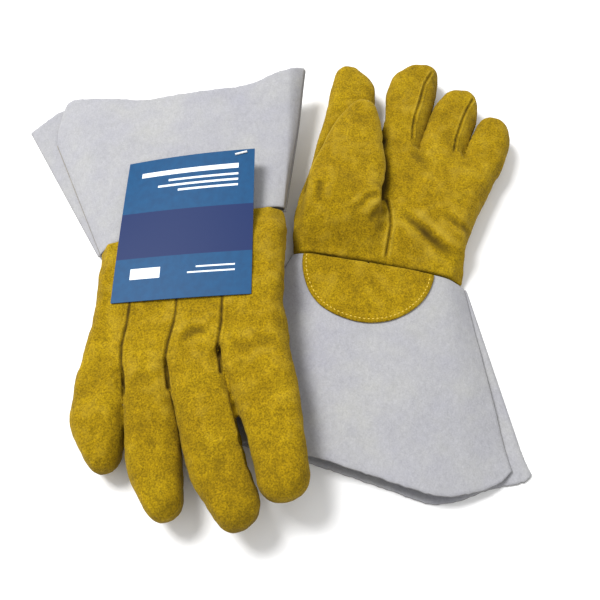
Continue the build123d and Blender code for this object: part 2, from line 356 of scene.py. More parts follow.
def digit_facts(side, matrix):
    """Pivot and centre line of each digit, from its CAD nodes."""
    facts = {}
    for digit in DIGITS:
        points = np.vstack([node_arrays(f"{side}_{digit}_{half}", matrix)[0]
                            for half in ("front", "back")])
        low, high = points[:, 1].min(), points[:, 1].max()
        base = points[points[:, 1] < low + 1.0]
        tip = points[points[:, 1] > high - 12]
        facts[digit] = dict(base=np.array([(base[:, 0].min() + base[:, 0].max()) / 2, low, 0]),
                            tip=np.array([(tip[:, 0].min() + tip[:, 0].max()) / 2, high, 0]),
                            half=np.ptp(base[:, 0]) / 2, low_z=points[:, 2].min(),
                            high_z=points[:, 2].max())
    return facts


def one_skin(solids, voxel):
    """One closed skin around solids that overlap."""
    points = np.vstack([p for p, _ in solids])
    offsets = np.cumsum([0] + [len(p) for p, _ in solids])
    faces = np.vstack([f + o for (_, f), o in zip(solids, offsets)])
    return largest_part(*modified(points, faces.tolist(), "REMESH", mode="VOXEL",
                                  voxel_size=voxel * MM))


def spread_skin(side, matrix, facts):
    """Closed skin of the whole hand with its fingers spread and its thumb opened."""
    solids = []
    for node in ("palm", "thumb_wing", "hand_lining"):
        solids.append(node_arrays(f"{side}_{node}", matrix))
    for finger in FINGERS:
        solids.append(node_arrays(f"{side}_{finger}_back_strip", matrix))
    for digit in fused_digits(side):
        fact = facts[digit]
        for half in ("front", "back", "lining"):
            points, faces = node_arrays(f"{side}_{digit}_{half}", matrix)
            for step in TUCKS:
                moved = points - [0, step, 0]
                if digit == "thumb":
                    moved = turn_about(moved, thumb_pivot(side, fact), (1, 0, 0), THUMB_OPENING)
                else:
                    moved = turn_about(moved, fact["base"], (0, 0, 1), SPREAD[side][digit])
                solids.append((moved, faces))
    wrist = facts_at_wrist(side, matrix)
    solids.append(box_arrays((wrist[0] + 4, 0.5, 4), (wrist[1] - 4, 3.5, HAND_HEIGHT - 4)))
    thumb = facts["thumb"]
    # plates that close the wrist and the mouth of the thumb wing
    low, high = sorted((HAND_HEIGHT / 2, thumb_outside(side, thumb)))
    solids.append(box_arrays((thumb["base"][0] - thumb["half"] + 1, THUMB_Y - 3, low + 0.8),
                             (thumb["base"][0] + thumb["half"] - 1, THUMB_Y - 0.5, high - 0.8)))
    return one_skin(solids, VOXEL)


def fused_digits(side):
    """The digits in one skin with the hand; the thumb under the right palm has its own."""
    return DIGITS if palm_sign(side) > 0 else FINGERS


def own_thumb(side, matrix):
    """Closed skin of the flat thumb that lies under the palm, starting inside the wing."""
    solids = []
    for half in ("front", "back", "lining"):
        points, faces = node_arrays(f"{side}_thumb_{half}", matrix)
        solids += [(points - [0, step, 0], faces) for step in THIN_TUCKS]
    points, faces = one_skin(solids, THIN_VOXEL)
    points = relax(points, edge_array(faces), 5)
    normals = point_normals(points, faces)
    tone = lumps(points, 12, 31) * 0.3
    points = points + normals * (0.15 + 0.2 * lumps(points, 9, 33))[:, None]
    return points, faces, tone


def facts_at_wrist(side, matrix):
    """The hand's two sides at the wrist."""
    points = np.vstack([node_arrays(f"{side}_{n}", matrix)[0] for n in ("palm", "hand_lining")])
    near = points[points[:, 1] < 2, 0]
    return near.min(), near.max()


def palm_sign(side):
    """+1 where the palm is on top, -1 where it is underneath."""
    return 1 if side == "left" else -1


def thumb_outside(side, fact):
    """Height of the thumb's face that is turned away from the hand."""
    return fact["high_z"] if palm_sign(side) > 0 else fact["low_z"]


def thumb_pivot(side, fact):
    """Point on the thumb's bend line."""
    return np.array([fact["base"][0], THUMB_Y, thumb_outside(side, fact)])


def label_digits(side, points, facts):
    """Which digit each point of the spread skin belongs to, -1 for the hand."""
    labels = np.full(len(points), -1)
    scores = []
    for finger in FINGERS:
        fact = facts[finger]
        tip = turn_about(fact["tip"][None], fact["base"], (0, 0, 1), SPREAD[side][finger])[0]
        line = (tip - fact["base"])[:2]
        line = line / np.linalg.norm(line)
        offset = points[:, :2] - fact["base"][:2]
        scores.append(np.abs(offset[:, 0] * line[1] - offset[:, 1] * line[0]) / fact["half"])
    beyond = points[:, 1] > KNUCKLE_Y - 8
    labels[beyond] = np.argmin(np.array(scores), axis=0)[beyond]
    if "thumb" not in fused_digits(side):
        return labels
    fact = facts["thumb"]
    rise = points[:, 2] - HAND_HEIGHT
    reach = points[:, 1] - THUMB_Y
    opened = 0.2 + reach * math.sin(math.radians(THUMB_OPENING)) * 0.5
    labels[(reach > 0) & (rise > opened) & (points[:, 0] < fact["base"][0] + fact["half"] + 9)] = 4
    return labels


def close_hand(side, points, edges, labels, facts):
    """Brings the spread fingers and the opened thumb back to where they lie."""
    shift = np.zeros_like(points)
    for number, digit in enumerate(DIGITS):
        chosen = labels == number
        part = points[chosen]
        fact = facts[digit]
        if digit == "thumb":
            share = smoothstep(part[:, 1], THUMB_Y, THUMB_Y + 14)
            part = turned_by_weight(part, thumb_pivot(side, fact), (1, 0, 0),
                                    -THUMB_OPENING * THUMB_CLOSING * share)
        else:
            share = smoothstep(part[:, 1], KNUCKLE_Y - 7, KNUCKLE_Y + 7)
            part = turned_by_weight(part, fact["base"], (0, 0, 1), -SPREAD[side][digit] * share)
        shift[chosen] = part - points[chosen]
    return points + relax(shift, edges, 4, 0.6, keep_size=False)


def plump(points, faces):
    """Lets the skin out, most of all between the roots of the fingers."""
    normals = point_normals(points, faces)
    roots = window(points[:, 1], (100, 106), (118, 134))
    roots *= window(points[:, 0], (-48, -40), (76, 82))
    return points + normals * (PLUMP + 1.7 * roots * (1 - np.abs(normals[:, 2])))[:, None]


def meet_cuff(side, points):
    """Flattens the hand towards the wrist, to the crown of the cuff."""
    x, z = np.array(CROWN[side], float).T
    height = np.interp(points[:, 0], x, z) + LEATHER + 0.4
    near = 1 - smoothstep(points[:, 1], 1, 30)
    points[:, 2] *= 1 - near * (1 - height / HAND_HEIGHT)
    return points


def press_thumb(points, labels):
    """The thumb of the palm-up glove, a little shorter and flatter."""
    thumb = labels == 4
    reach = np.maximum(points[thumb, 1] - THUMB_Y, 0)
    points[thumb, 1] -= reach * THUMB_SHORTER
    points[thumb, 2] -= (points[thumb, 2] - HAND_HEIGHT) * THUMB_FLATTER * smoothstep(reach, 0, 20)
    return points


def taper_tips(points, labels, facts):
    """Narrows the ends of the right glove's long fingers on their little-finger side."""
    for number, finger in enumerate(FINGERS):
        if finger == "index":
            continue
        tip = facts[finger]["tip"]
        chosen = labels == number
        part = points[chosen]
        share = smoothstep(part[:, 1], tip[1] - TIP_LENGTH, tip[1] + 1)
        part[:, 0] -= TIP_TAPER * share * np.maximum(part[:, 0] - tip[0] + 4, 0)
        points[chosen] = part
    return points


def clear_of_neighbours(side, points):
    """Keeps the left hand above the table, and the right hand's back under the tag on it."""
    if side != "right":
        points[:, 2] = np.maximum(points[:, 2], 0.1)
        return points
    near = smoothstep(-points[:, 1], -84, -72) * smoothstep(points[:, 0], -58, -50)
    near *= 1 - smoothstep(points[:, 0], 58, 70)
    ceiling = HAND_HEIGHT + 0.3 + 3 * (1 - near)
    points[:, 2] = np.minimum(points[:, 2], ceiling)
    return points


# seams as chains of plan points, and folds as (points, depth, width)
BACK_SEAMS = [[(-24, 1), (-21, 50), (-15, 88), (-9.6, 106), (-9.4, 124)],
              [(9, 1), (11, 55), (16, 80), (22, 94), (26, 108), (26, 126)],
              [(40, 1), (45, 58), (48.5, 74), (53, 88), (54.3, 104), (55.4, 124)]]
PALM_SEAM = [(5, 54), (9, 42), (11.5, 29), (11.5, 1)]
PALM_FOLDS = [([(14, 44), (30, 33), (48, 20), (62, 14)], 1.3, 4.0),
              ([(8, 46), (2, 36), (-6, 22)], 0.9, 2.4),
              ([(4, 48), (-8, 40), (-20, 24)], 0.8, 2.6),
              ([(-52, 58), (-44, 44), (-42, 26)], 0.9, 3.0),
              ([(70, 36), (58, 40), (46, 48)], 0.8, 3.0),
              ([(20, 104), (28, 92), (34, 80)], 0.6, 4.0)]
SIDE_SEAMS = [[(26, 190), (21, 173), (19.3, 154), (17, 138), (16.6, 124), (18, 112)],
              [(62, 167), (57, 152), (54, 138), (51.3, 121), (50.6, 106)]]
BACK_FOLDS = [([(-8, 93), (4, 90), (16, 94)], 1.0, 3.5),
              ([(-52, 112), (-36, 108), (-20, 112)], 0.5, 4.0),
              ([(30, 118), (42, 114), (52, 118)], 0.4, 4.0)]


def sculpt(side, points, faces, labels):
    """Seam valleys, folds and lumps, and a tone for each point: painted highlight and wear on
    ridges, a painted highlight on the thumb's rim, painted shade in seams and folds, beside the
    thumb and on the walls between the fingers, darker towards the fingertips of the palm-down
    glove, and random lumps of tone.
    """
    normals = point_normals(points, faces)
    top = smoothstep(normals[:, 2], 0.05, 0.55)
    xy = points[:, :2]
    on_thumb = labels == 4
    depth = np.zeros(len(points))
    tone = np.zeros(len(points))

    def groove(line, deep, wide, chosen, ends, lip=0.35):
        """A valley with a ridge on each side, fading out at both ends of the line."""
        distance, along = line_distance(xy, line)
        fade = window(along, (0, ends), (1 - ends, 1))
        shape = np.exp(-(distance / wide) ** 2) * chosen * fade
        ridge = np.exp(-((distance - 1.9 * wide) / wide) ** 2) * chosen * fade
        depth[:] -= deep * shape - lip * deep * ridge
        # painted highlight and wear on the ridges, painted shade in the valley
        tone[:] += ridge * 0.35 * deep - shape * 0.9 * min(deep, 1.2)

    if palm_sign(side) > 0:
        open_palm = top * ~on_thumb
        groove(PALM_SEAM, 1.3, 1.1, open_palm, ends=0.08)
        for line, deep, wide in PALM_FOLDS:
            groove(line, deep, wide, open_palm, ends=0.3)
        for line in SIDE_SEAMS:
            groove(line, 1.0, 0.9, open_palm, ends=0.06, lip=0.9)
        under_thumb = thumb_shadow(points, labels)
        depth -= 1.4 * under_thumb * top
        # painted shadow beside the thumb's outline
        tone -= 1.5 * under_thumb * smoothstep(normals[:, 2], -0.2, 0.3)
        # painted highlight along the thumb's sloping rim
        rim = np.exp(-((normals[:, 2] - 0.42) / 0.2) ** 2) * on_thumb
        tone += 0.95 * rim * smoothstep(points[:, 1], 50, 60)
        depth += 2.0 * np.exp(-(((xy - (-22, 26)) / (24, 20)) ** 2).sum(1)) * top
        depth += 1.6 * np.exp(-(((xy - (40, 62)) / (26, 22)) ** 2).sum(1)) * open_palm
    else:
        for line in BACK_SEAMS:
            groove(line, 1.2, 1.0, top, ends=0.04, lip=0.3)
            groove(line, 0.35, 3.0, top, ends=0.04, lip=0.0)
        for line, deep, wide in BACK_FOLDS:
            groove(line, deep, wide, top, ends=0.3)
    seed = SKIN_SEED[side]
    big, middle, small = (lumps(points, size, seed + number)
                          for number, size in enumerate((34, 13, 5.5)))
    depth += 0.9 * big + 0.5 * middle * top + 0.22 * small
    tone += 0.22 * middle + 0.16 * small
    walls = (1 - smoothstep(normals[:, 2], -0.1, 0.3)) * smoothstep(points[:, 1], 100, 112)
    walls *= window(points[:, 0], (-48, -40), (80, 88))
    if palm_sign(side) < 0:
        tone -= 0.22 * smoothstep(points[:, 1], 130, 200)
    # painted shade on the walls between the roots of the fingers
    tone -= 0.55 * walls * (normals[:, 2] > -0.6) * ~on_thumb
    return points + normals * depth[:, None], tone


def thumb_shadow(points, labels):
    """1 beside the thumb's outline in plan, falling off within a few millimetres."""
    thumb = points[(labels == 4) & (points[:, 1] > THUMB_Y + 6)]
    tree = tree_of(thumb * [1, 1, 0])
    others = (labels != 4) & (points[:, 1] > THUMB_Y + 2)
    reach = np.full(len(points), 99.0)
    reach[others] = [tree.find((x, y, 0))[2] for x, y, _ in points[others]]
    return np.exp(-(reach / 3.2) ** 2)


def hand_skin(side):
    """Final skin of one hand: its frame, points, faces, digit labels and tones."""
    matrix = hand_frame(side)
    facts = digit_facts(side, matrix)
    points, faces = spread_skin(side, matrix, facts)
    labels = label_digits(side, points, facts)
    edges = edge_array(faces)
    points = relax(points, edges, 4)
    points = points + relax(cloth_shift(points, faces), edges, 2, 0.5, keep_size=False)
    points = close_hand(side, points, edges, labels, facts)
    near_thumb = (points[:, 0] < 14) & (points[:, 1] < 66)
    face = HAND_HEIGHT - 6 if palm_sign(side) > 0 else 6
    near_thumb &= (points[:, 2] - face) * palm_sign(side) > 0
    soft = near_thumb * (1 - smoothstep(points[:, 1], 50, 66)) * smoothstep(points[:, 1], 2, 10)
    points = relax(points, edges, 40, 0.5, soft, keep_size=False)
    points = relax(points, edges, 6)
    points = plump(points, faces)
    points = meet_cuff(side, points)
    if palm_sign(side) > 0:
        points = press_thumb(points, labels)
    else:
        points = taper_tips(points, labels, facts)
    fine, fine_faces = modified(points, faces, "SUBSURF", levels=1, render_levels=1)
    fine_labels = nearest_labels(fine, points, labels)
    fine, tone = sculpt(side, fine, fine_faces, fine_labels)
    fine = clear_of_neighbours(side, fine)
    return dict(matrix=matrix, points=fine, faces=fine_faces, labels=fine_labels, tone=tone)


def cloth_shift(points, faces):
    """Where a cloth simulation moves the padded skin: blown up a little, with spare leather."""
    start, coarse_faces = modified(points, faces, "REMESH", mode="VOXEL",
                                   voxel_size=CLOTH_VOXEL * MM)
    obj = make_object("cloth", start * MM * CLOTH_SCALE, coarse_faces)
    pins = obj.vertex_groups.new(name="pins")
    pins.add([i for i, p in enumerate(start) if p[1] < 6], 1.0, "REPLACE")
    cloth = obj.modifiers.new("cloth", "CLOTH")
    settings = cloth.settings
    settings.quality, settings.mass = 5, 0.3
    settings.tension_stiffness = settings.compression_stiffness = 14
    settings.shear_stiffness, settings.bending_stiffness = 8, 0.4
    settings.use_pressure, settings.uniform_pressure_force = True, CLOTH_PRESSURE
    settings.shrink_min = -CLOTH_SPARE
    settings.vertex_group_mass = "pins"
    settings.effector_weights.gravity = 0
    cloth.point_cache.frame_start, cloth.point_cache.frame_end = 1, CLOTH_FRAMES
    for number in range(1, CLOTH_FRAMES + 1):
        bpy.context.scene.frame_set(number)
    ended = evaluated_arrays(obj)[0] / (MM * CLOTH_SCALE)
    bpy.context.scene.frame_set(1)
    drop_object(obj)
    shift = ended - start
    length = np.linalg.norm(shift, axis=1)[:, None]
    shift *= CLOTH_LIMIT * np.tanh(length / CLOTH_LIMIT) / np.maximum(length, 1e-6)
    return carried(points, start, shift)


def carried(points, start, shift):
    """Takes each point's shift from the three nearest simulated points."""
    tree = tree_of(start)
    result = np.zeros_like(points)
    for number, point in enumerate(points):
        found = tree.find_n(point, 3)
        weights = np.array([1 / (f[2] + 0.3) for f in found])
        result[number] = weights @ shift[[f[1] for f in found]] / weights.sum()
    return result


def nearest_labels(fine, coarse, labels):
    """A subdivided mesh keeps its old points first; the new ones take the nearest label."""
    result = np.empty(len(fine), int)
    result[:len(coarse)] = labels
    tree = tree_of(coarse)
    for number in range(len(coarse), len(fine)):
        result[number] = labels[tree.find(fine[number])[1]]
    return result


def face_groups(skin):
    """Faces of the hand and of each digit, divided a little past the bend lines."""
    middle = np.array([skin["points"][list(f)].mean(axis=0) for f in skin["faces"]])
    votes = [np.bincount(skin["labels"][list(f)] + 1, minlength=6).argmax() - 1
             for f in skin["faces"]]
    groups = {name: [] for name in ("hand",) + DIGITS}
    for face, centre, vote in zip(skin["faces"], middle, votes):
        line = THUMB_Y + 5 if vote == 4 else KNUCKLE_Y + 1
        name = DIGITS[vote] if vote >= 0 and centre[1] > line else "hand"
        groups[name].append(face)
    return groups


def store(obj, name, values, kind="FLOAT"):
    """Stores one value for each point, for the materials to read."""
    attribute = obj.data.attributes.new(name, kind, "POINT")
    key = "vector" if kind == "FLOAT_VECTOR" else "value"
    attribute.data.foreach_set(key, np.asarray(values, np.float32).ravel())


def glove_object(name, points, faces, matrix):
    """Object from points in the glove frame, which it stores as its rest place."""
    obj = make_object(name, to_row(points, matrix), faces)
    store(obj, "rest", points, "FLOAT_VECTOR")
    return obj


def thicken(obj, depth):
    """Gives an open sheet its thickness, inwards, and closes its edge."""
    modifier = obj.modifiers.new("thickness", "SOLIDIFY")
    modifier.thickness, modifier.offset = depth * MM, -1.0
    modifier.use_rim = True
    apply_modifiers(obj)
    obj.data.set_sharp_from_angle(angle=SHARP)


def apply_modifiers(obj):
    """Makes an object's modifiers permanent."""
    bpy.context.view_layer.update()
    graph = bpy.context.evaluated_depsgraph_get()
    mesh = bpy.data.meshes.new_from_object(obj.evaluated_get(graph))
    old = obj.data
    obj.modifiers.clear()
    obj.data = mesh
    bpy.data.meshes.remove(old)


def piece_from(name, points, faces, values, matrix):
    """One piece of a hand, with its rest place and tone stored for the material."""
    used, faces = renumbered(faces)
    obj = glove_object(name, points[used], faces, matrix)
    store(obj, "tone", values[used])
    return obj


def place_piece(obj, name):
    """Bakes the piece's place into its mesh, alike for the hand and for each digit."""
    if name == "hand":
        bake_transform(obj)
        return
    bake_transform(obj)


def lining_surface(skin):
    """The skin moved inwards by the depth of the fleece, without its wrinkles."""
    edges = edge_array(skin["faces"])
    normals = relax(point_normals(skin["points"], skin["faces"]), edges, 5, keep_size=False)
    normals /= np.maximum(np.linalg.norm(normals, axis=1), 1e-9)[:, None]
    inner = skin["points"] - normals * LINING_DEPTH
    return relax(inner, edges, 6, keep_size=False), normals


def between_roots(point, normal):
    """True on the walls between the roots of two fingers, where there is no room for fleece."""
    return 96 < point[1] < 136 and -50 < point[0] < 84 and abs(normal[2]) < 0.8


def make_own_thumb(side, matrix, suede, fleece):
    """Skin and lining pieces of the thumb that has a skin of its own."""
    points, faces, tone = own_thumb(side, matrix)
    label = side + "_thumb"
    outer = piece_from(label + "_skin", points, faces, tone, matrix)
    thicken(outer, THIN_LEATHER)
    outer.data.materials.append(suede)
    inner = points - point_normals(points, faces) * 1.3
    lining = piece_from(label + "_fleece", inner, faces, tone, matrix)
    thicken(lining, THIN_FLEECE)
    lining.data.materials.append(fleece)
    for piece in (outer, lining):
        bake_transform(piece)
    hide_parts(label + "_front", label + "_back")
    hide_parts(label + "_lining")


def make_hand(side, suede, fleece):
    """Skin and lining pieces of one hand."""
    skin = hand_skin(side)
    matrix = skin["matrix"]
    inner, normals = lining_surface(skin)
    for name, faces in face_groups(skin).items():
        label = f"{side}_{name}"
        if not faces:       # only the thumb under the palm has none in the hand's skin
            make_own_thumb(side, matrix, suede, fleece)
            continue
        outer = piece_from(label + "_skin", skin["points"], faces, skin["tone"], matrix)
        thicken(outer, LEATHER)
        outer.data.materials.append(suede)
        faces = [f for f in faces if not between_roots(skin["points"][f[0]], normals[f[0]])]
        lining = piece_from(label + "_fleece", inner, faces, skin["tone"], matrix)
        thicken(lining, FLEECE)
        lining.data.materials.append(fleece)
        for piece in (outer, lining):
            place_piece(piece, name)
        if name == "hand":
            strips = [f"{side}_{f}_back_strip" for f in FINGERS]
            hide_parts(side + "_palm", side + "_thumb_wing", *strips)
            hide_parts(side + "_hand_lining")
        else:
            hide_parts(label + "_front", label + "_back")
            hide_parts(label + "_lining")


# ---- cuffs ----
def plan_probe(side, node):
    """Function that gives a CAD panel's lowest and highest point at a place, or None."""
    matrix = table_frame(side)
    points, faces = node_arrays(f"{side}_{node}", matrix)
    tree = BVHTree.FromPolygons([tuple(p) for p in points], [tuple(f) for f in faces])

    def probe(x, y):
        high = tree.ray_cast(Vector((x, y, 200)), Vector((0, 0, -1)))[0]
        low = tree.ray_cast(Vector((x, y, -200)), Vector((0, 0, 1)))[0]
        return (low.z, high.z) if high is not None and low is not None else None

    return probe


def last_inside(test, inside, outside, rounds=14):
    """Last place between two points where the test still holds."""
    inside, outside = np.array(inside, float), np.array(outside, float)
    for _ in range(rounds):
        centre = (inside + outside) / 2
        if test(*centre):
            inside = centre
        else:
            outside = centre
    return inside


def panel_grid(side, node, columns=96, rows=72):
    """Grid of points over a cuff panel, from the wrist to the hem, along its flare."""
    probe = plan_probe(side, node)
    near, far = -1.0, -70.0
    edges = {}
    for y in (near, far):
        edges[y] = [last_inside(probe, (0, y), (sign * 160, y))[0] for sign in (-1, 1)]
    grid = np.zeros((rows, columns, 3))
    for column in range(columns):
        u = 0.002 + 0.996 * column / (columns - 1)
        start = np.array([np.interp(u, (0, 1), edges[near]), near])
        through = np.array([np.interp(u, (0, 1), edges[far]), far])
        way = through - start
        end = last_inside(probe, start + way * 0.9, start + way * 3)
        for row in range(rows):
            v = row / (rows - 1)
            x, y = start + (end - start) * v * 0.9995
            heights = probe(x, y)
            z = heights[1] if heights else grid[row - 1, column, 2]
            grid[row, column] = (x, y, z)
    return grid


def smooth_grid(grid, rounds):
    """Rounds the crown of a grid across the glove; its side edges keep their height."""
    z = grid[:, :, 2]
    for _ in range(rounds):
        z[:, 1:-1] = (z[:, :-2] + 2 * z[:, 1:-1] + z[:, 2:]) / 4
    return grid


def sheet_object(name, grid, thickness, matrix):
    """Closed sheet with a rounded border from a grid of its top surface."""
    rows, columns = grid.shape[:2]
    top = grid.reshape(-1, 3)
    bottom = top - [0, 0, thickness]
    border = ([(0, c) for c in range(columns)] + [(r, columns - 1) for r in range(1, rows)]
              + [(rows - 1, c) for c in range(columns - 2, -1, -1)]
              + [(r, 0) for r in range(rows - 2, 0, -1)])
    ring = np.array([r * columns + c for r, c in border])
    inside = np.array([min(max(r, 1), rows - 2) * columns + min(max(c, 1), columns - 2)
                       for r, c in border])
    outward = top[ring] - top[inside]
    outward[:, 2] = 0
    outward /= np.maximum(np.linalg.norm(outward, axis=1), 1e-9)[:, None]
    middle = top[ring] - [0, 0, thickness / 2] + outward * thickness * 0.35
    points = np.vstack([top, bottom, middle])
    count = rows * columns
    faces = []
    for r in range(rows - 1):
        for c in range(columns - 1):
            a = r * columns + c
            quad = (a, a + columns, a + columns + 1, a + 1)
            faces.append(quad)
            faces.append(tuple(count + i for i in reversed(quad)))
    length = len(ring)
    for i in range(length):
        j = (i + 1) % length
        faces.append((ring[i], ring[j], 2 * count + j, 2 * count + i))
        faces.append((2 * count + i, 2 * count + j, count + ring[j], count + ring[i]))
    obj = glove_object(name, points, faces, matrix)
    # the border's middle points carry painted shade on the cut edge, in the split leather's
    # material
    cut_edge_shade = np.zeros(len(points))
    cut_edge_shade[2 * count:] = 1
    store(obj, "cut_edge_shade", cut_edge_shade)
    return obj


def shape_hem(side, node, flat, share):
    """The rounded hem corner of the left cuff and the raised one of the right cuff."""
    x, y = flat[:, 0].copy(), flat[:, 1].copy()
    if side == "left":
        corner = smoothstep(x, 66, 118) * smoothstep(-y, 112, 156)
        flat[:, 1] += HEM_IN * corner
        flat[:, 0] -= 3 * corner
        if node == "cuff_upper_panel":
            flat[:, 2] += WRIST_UP * (1 - smoothstep(x, -50, -12)) * smoothstep(y, -44, -8)
    else:
        corner = smoothstep(-x, 50, 90) * smoothstep(share, 0.55, 1)
        flat[:, 2] += HEM_UP * corner
        flat[:, 1] -= 4 * corner


def make_cuff(side, split, welt):
    """Upper and lower panels and the welts of one cuff."""
    matrix = table_frame(side)
    seed = CUFF_SEED[side]
    body = side + "_cuff"
    lower = None
    for node, rounds in (("cuff_lower_panel", 4), ("cuff_upper_panel", 26)):
        grid = smooth_grid(panel_grid(side, node), rounds)
        flat = grid.reshape(-1, 3)
        share = np.repeat(np.linspace(0, 1, grid.shape[0]), grid.shape[1])
        if node == "cuff_upper_panel":
            across = np.tile(np.linspace(0, 1, grid.shape[1]), grid.shape[0])
            inner = smoothstep(np.minimum(across, 1 - across), 0.0, 0.12)
            wave = lumps(flat, WAVE[0], seed) * WAVE[1] * smoothstep(share, 0.1, 1.0)
            wave += lumps(flat, RIPPLE[0], seed + 1) * RIPPLE[1]
            if side == "right":
                under_tag = smoothstep(flat[:, 1], -95, -75) * smoothstep(flat[:, 0], -95, -80)
                wave -= np.maximum(wave, -1.2) * under_tag + 1.2 * under_tag * inner
            flat[:, 2] += np.where(wave > 0, wave, wave * inner)
        shape_hem(side, node, flat, share)
        ragged = lumps(flat, 3.0, seed + 2) * 0.5
        flat[:, 1] += ragged * smoothstep(share, 0.97, 1.0)
        flat[:, 2] += lumps(flat, 6, seed + 3) * 0.12
        if side == "left":
            flat[:, 2] = np.maximum(flat[:, 2], PANEL + 0.05)
        grid = flat.reshape(grid.shape)
        if node == "cuff_lower_panel":
            lower = grid
        else:
            make_welts(side, grid, welt, matrix)
            if side == "right":
                grid = with_band(grid, lower)
        obj = sheet_object(f"{side}_{node}_leather", grid, PANEL, matrix)
        obj.data.materials.append(split)
        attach(obj, body)
        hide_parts(f"{side}_{node}")


def with_band(grid, lower, columns=9):
    """Turns the upper panel's thumb side down to the edge of the lower panel."""
    bands = []
    for edge, foot in zip(grid[:, 0], lower[:, 0]):
        end = foot + [0.8, 0, 2.0]
        steps = np.linspace(1, 0, columns, endpoint=False)[:, None]
        bands.append(edge + (end - edge) * steps + [0, 0, 1] * np.sin(np.pi * steps) * 0.8)
    return np.concatenate([np.array(bands), grid], axis=1)


def make_welts(side, grid, welt, matrix):
    """Thin leather strips caught in the two side seams, under the upper panel's edges."""
    points, faces = [], []
    for column, way in ((0, -1), (-1, 1)):
        line = grid[:, column]
        first = len(points)
        for place in line:
            for dx, dz in ((-0.6, -2.9), (0.8, -2.9), (0.8, -1.6), (-0.6, -1.6)):
                points.append(place + [way * dx, 0, dz])
        for row in range(len(line) - 1):
            for k in range(4):
                a, b = first + row * 4 + k, first + row * 4 + (k + 1) % 4
                faces.append((a, b, b + 4, a + 4))
        last = first + (len(line) - 1) * 4
        faces += [tuple(first + k for k in (3, 2, 1, 0)), tuple(last + k for k in range(4))]
    obj = glove_object(side + "_cuff_welt_strips", np.array(points), faces, matrix)
    obj.data.materials.append(welt)
    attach(obj, side + "_cuff")
    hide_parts(side + "_cuff_welts")


def surface_probe(obj, sign):
    """Height of an object's top (+1) or underside (-1) at a place in the row frame."""
    mesh = obj.data
    tree = BVHTree.FromPolygons([v.co for v in mesh.vertices],
                                [tuple(p.vertices) for p in mesh.polygons])

    def probe(x, y):
        hit = tree.ray_cast(Vector((x, y, 0.3 * sign)), Vector((0, 0, -sign)))[0]
        return None if hit is None else hit.z

    return probe


def make_heel_patch(side, suede, thread):
    """Half-round patch and its row of stitches, laid on the cuff's palm side."""
    sign = palm_sign(side)
    base = bpy.data.objects[f"{side}_cuff_{'upper' if sign > 0 else 'lower'}_panel_leather"]
    probe = surface_probe(base, sign)
    matrix = table_frame(side)
    node = plan_probe(side, "heel_patch")
    rings, spokes = 26, 88
    centre = np.array([0.0, -1.2])
    grid = np.zeros((rings, spokes, 3))
    rim = []
    for spoke in range(spokes):
        angle = math.pi + math.pi * (0.004 + 0.992 * spoke / (spokes - 1))
        way = np.array([math.cos(angle), math.sin(angle)])
        end = last_inside(node, centre + way, centre + way * 90)
        rim.append(end)
        for ring in range(rings):
            x, y = centre + (end - centre) * (0.02 + 0.98 * ring / (rings - 1))
            grid[ring, spoke] = (x, y, 0)
    flat = grid.reshape(-1, 3)
    height = patch_height(flat, probe, matrix)
    flat[:, 2] = height + sign * 0.1 + (PATCH if sign > 0 else 0)
    obj = sheet_object(side + "_heel_patch_suede", flat.reshape(grid.shape), PATCH, matrix)
    corners = to_glove(np.array([v.co for v in obj.data.vertices]), matrix)
    store(obj, "tone", lumps(corners, 9, 7) * 0.3)
    obj.data.materials.append(suede)
    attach(obj, side + "_cuff")
    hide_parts(side + "_heel_patch")
    make_stitches(side, np.array(rim), centre, probe, matrix, thread, sign)


def patch_height(flat, probe, matrix):
    """Height of the cuff under each point of the patch, in millimetres."""
    heights = []
    for x, y, _ in to_row(flat, matrix):
        z = probe(x, y)
        heights.append(z / MM if z is not None else (heights[-1] if heights else 15.0))
    return np.array(heights)


def make_stitches(side, rim, centre, probe, matrix, thread, sign):
    """Thread segments along the patch's round edge."""
    inset = centre + (rim - centre) * 0.952
    steps = np.r_[0, np.cumsum(np.linalg.norm(np.diff(inset, axis=0), axis=1))]
    count = int(steps[-1] / STITCH_PITCH)
    points, faces = [], []
    for number in range(count):
        a, b = (number + 0.16) * STITCH_PITCH, (number + 0.84) * STITCH_PITCH
        ends = [np.array([np.interp(s, steps, inset[:, 0]), np.interp(s, steps, inset[:, 1])])
                for s in (a, b)]
        row = to_row(np.array([[e[0], e[1], 0] for e in ends]), matrix)
        heights = [(probe(x, y) or 0.015) / MM for x, y, _ in row]
        base = [h + sign * 1.55 for h in heights]
        add_stitch(points, faces, [np.array([*e, z]) for e, z in zip(ends, base)])
    obj = glove_object(side + "_heel_thread", np.array(points), faces, matrix)
    obj.data.materials.append(thread)
    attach(obj, side + "_cuff")
    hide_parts(side + "_heel_stitching")


def add_stitch(points, faces, ends, radius=STITCH_RADIUS, sides=6, rings=6):
    """One plump stitch: a spindle that dips into the leather at both ends."""
    a, b = ends
    way = (b - a) / np.linalg.norm(b - a)
    across = np.cross(way, [0, 0, 1.0])
    across /= np.linalg.norm(across)
    up = np.cross(across, way)
    first = len(points)
    for ring in range(rings):
        t = ring / (rings - 1)
        swell = math.sin(math.pi * (0.12 + 0.76 * t))
        centre = a + (b - a) * t - up * radius * (1 - swell) * 1.2
        for k in range(sides):
            angle = 2 * math.pi * k / sides
            points.append(centre + radius * swell * (across * math.cos(angle)
                                                     + up * math.sin(angle)))
    for ring in range(rings - 1):
        for k in range(sides):
            i, j = first + ring * sides + k, first + ring * sides + (k + 1) % sides
            faces.append((i, j, j + sides, i + sides))
    faces.append(tuple(first + k for k in reversed(range(sides))))
    faces.append(tuple(first + (rings - 1) * sides + k for k in range(sides)))


